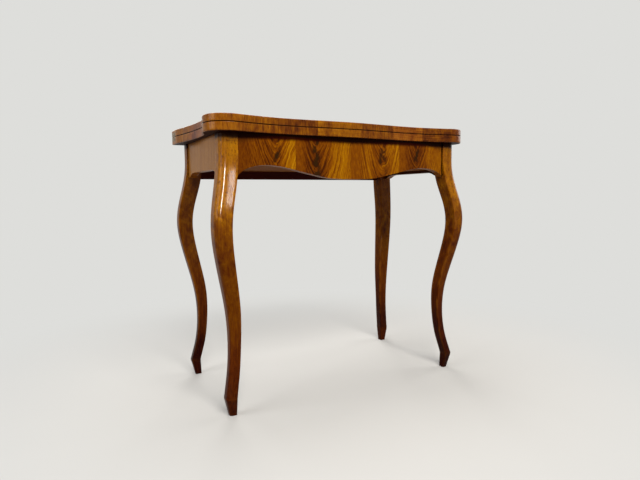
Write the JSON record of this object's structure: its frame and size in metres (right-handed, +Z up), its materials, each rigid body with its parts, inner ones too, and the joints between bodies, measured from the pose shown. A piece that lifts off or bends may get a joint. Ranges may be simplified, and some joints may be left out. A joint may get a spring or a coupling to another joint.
{
  "type": "fold-over card table",
  "caption": "Fold-over card table with cabriole legs: a double top turns a quarter turn on a pivot and its upper leaf folds open over the frame to a square baize playing surface.",
  "frame": {"origin": "on the floor under the middle of the frame, which is the bottom centre of the part's box", "axes": "+X along the table's length to the right seen from the front, +Y from the front to the back, +Z up"},
  "size_m": [0.827, 0.4359, 0.77],
  "materials": {
    "leg_walnut": "polished walnut, honey brown with dark flecks",
    "leaf_walnut": "polished walnut, reddish brown with darker patches",
    "figured_veneer": "polished figured walnut veneer, golden brown",
    "side_walnut": "polished walnut veneer",
    "stained_rail": "dark red-brown stain",
    "raw_softwood": "unpolished softwood, aged",
    "raw_hardwood": "unpolished hardwood, aged",
    "green_baize": "green wool baize",
    "old_brass": "dull brass",
    "dark_iron": "dark iron"
  },
  "bodies": {
    "frame": {"leg_front_left": "leg_walnut", "leg_front_right": "leg_walnut", "leg_back_left": "leg_walnut", "leg_back_right": "leg_walnut", "apron_front": "raw_softwood", "front_veneer_1": "figured_veneer", "front_veneer_2": "figured_veneer", "front_veneer_3": "figured_veneer", "front_veneer_4": "figured_veneer", "apron_left": "side_walnut", "apron_right": "side_walnut", "apron_back": "stained_rail", "pivot_rail": "raw_hardwood", "well_divider": "raw_softwood", "well_bottom": "raw_softwood", "corner_block_front_left": "raw_softwood", "corner_block_front_right": "raw_softwood", "corner_block_back_left": "raw_softwood", "corner_block_back_right": "raw_softwood", "stop_block": "raw_hardwood"},
    "lower_leaf": {"lower_leaf": "leaf_walnut", "baize_lower": "green_baize", "pivot_plate": "dark_iron", "pivot_bolt": "dark_iron", "pivot_washer": "dark_iron", "pivot_nut": "dark_iron", "plate_screw_1": "dark_iron", "plate_screw_2": "dark_iron", "plate_screw_3": "dark_iron", "plate_screw_4": "dark_iron", "turning_stop": "raw_hardwood", "turning_stop_screw_1": "dark_iron", "turning_stop_screw_2": "dark_iron", "hinge_plate_lower_left": "old_brass", "hinge_plate_lower_right": "old_brass", "hinge_screw_lower_left_1": "old_brass", "hinge_screw_lower_left_2": "old_brass", "hinge_screw_lower_right_1": "old_brass", "hinge_screw_lower_right_2": "old_brass", "hinge_pin_lower_left": "old_brass", "hinge_pin_lower_right": "old_brass"},
    "hinge_links": {"hinge_link_left": "old_brass", "hinge_link_right": "old_brass"},
    "upper_leaf": {"upper_leaf": "leaf_walnut", "baize_upper": "green_baize", "hinge_plate_upper_left": "old_brass", "hinge_plate_upper_right": "old_brass", "hinge_screw_upper_left_1": "old_brass", "hinge_screw_upper_left_2": "old_brass", "hinge_screw_upper_right_1": "old_brass", "hinge_screw_upper_right_2": "old_brass", "hinge_pin_upper_left": "old_brass", "hinge_pin_upper_right": "old_brass"}
  },
  "joints": [
    {"name": "top_swivel", "type": "hinge", "parent": "frame", "child": "lower_leaf", "pos_m": [0.097, 0.097, 0.7289], "axis": [0, 0, 1], "range_deg": [0, 90]},
    {"name": "link_fold", "type": "hinge", "parent": "lower_leaf", "child": "hinge_links", "pos_m": [0, 0.1909, 0.7474], "axis": [-1, 0, 0], "range_deg": [0, 90]},
    {"name": "leaf_fold", "type": "hinge", "parent": "hinge_links", "child": "upper_leaf", "pos_m": [0, 0.1909, 0.7544], "axis": [-1, 0, 0], "range_deg": [0, 90]}
  ]
}
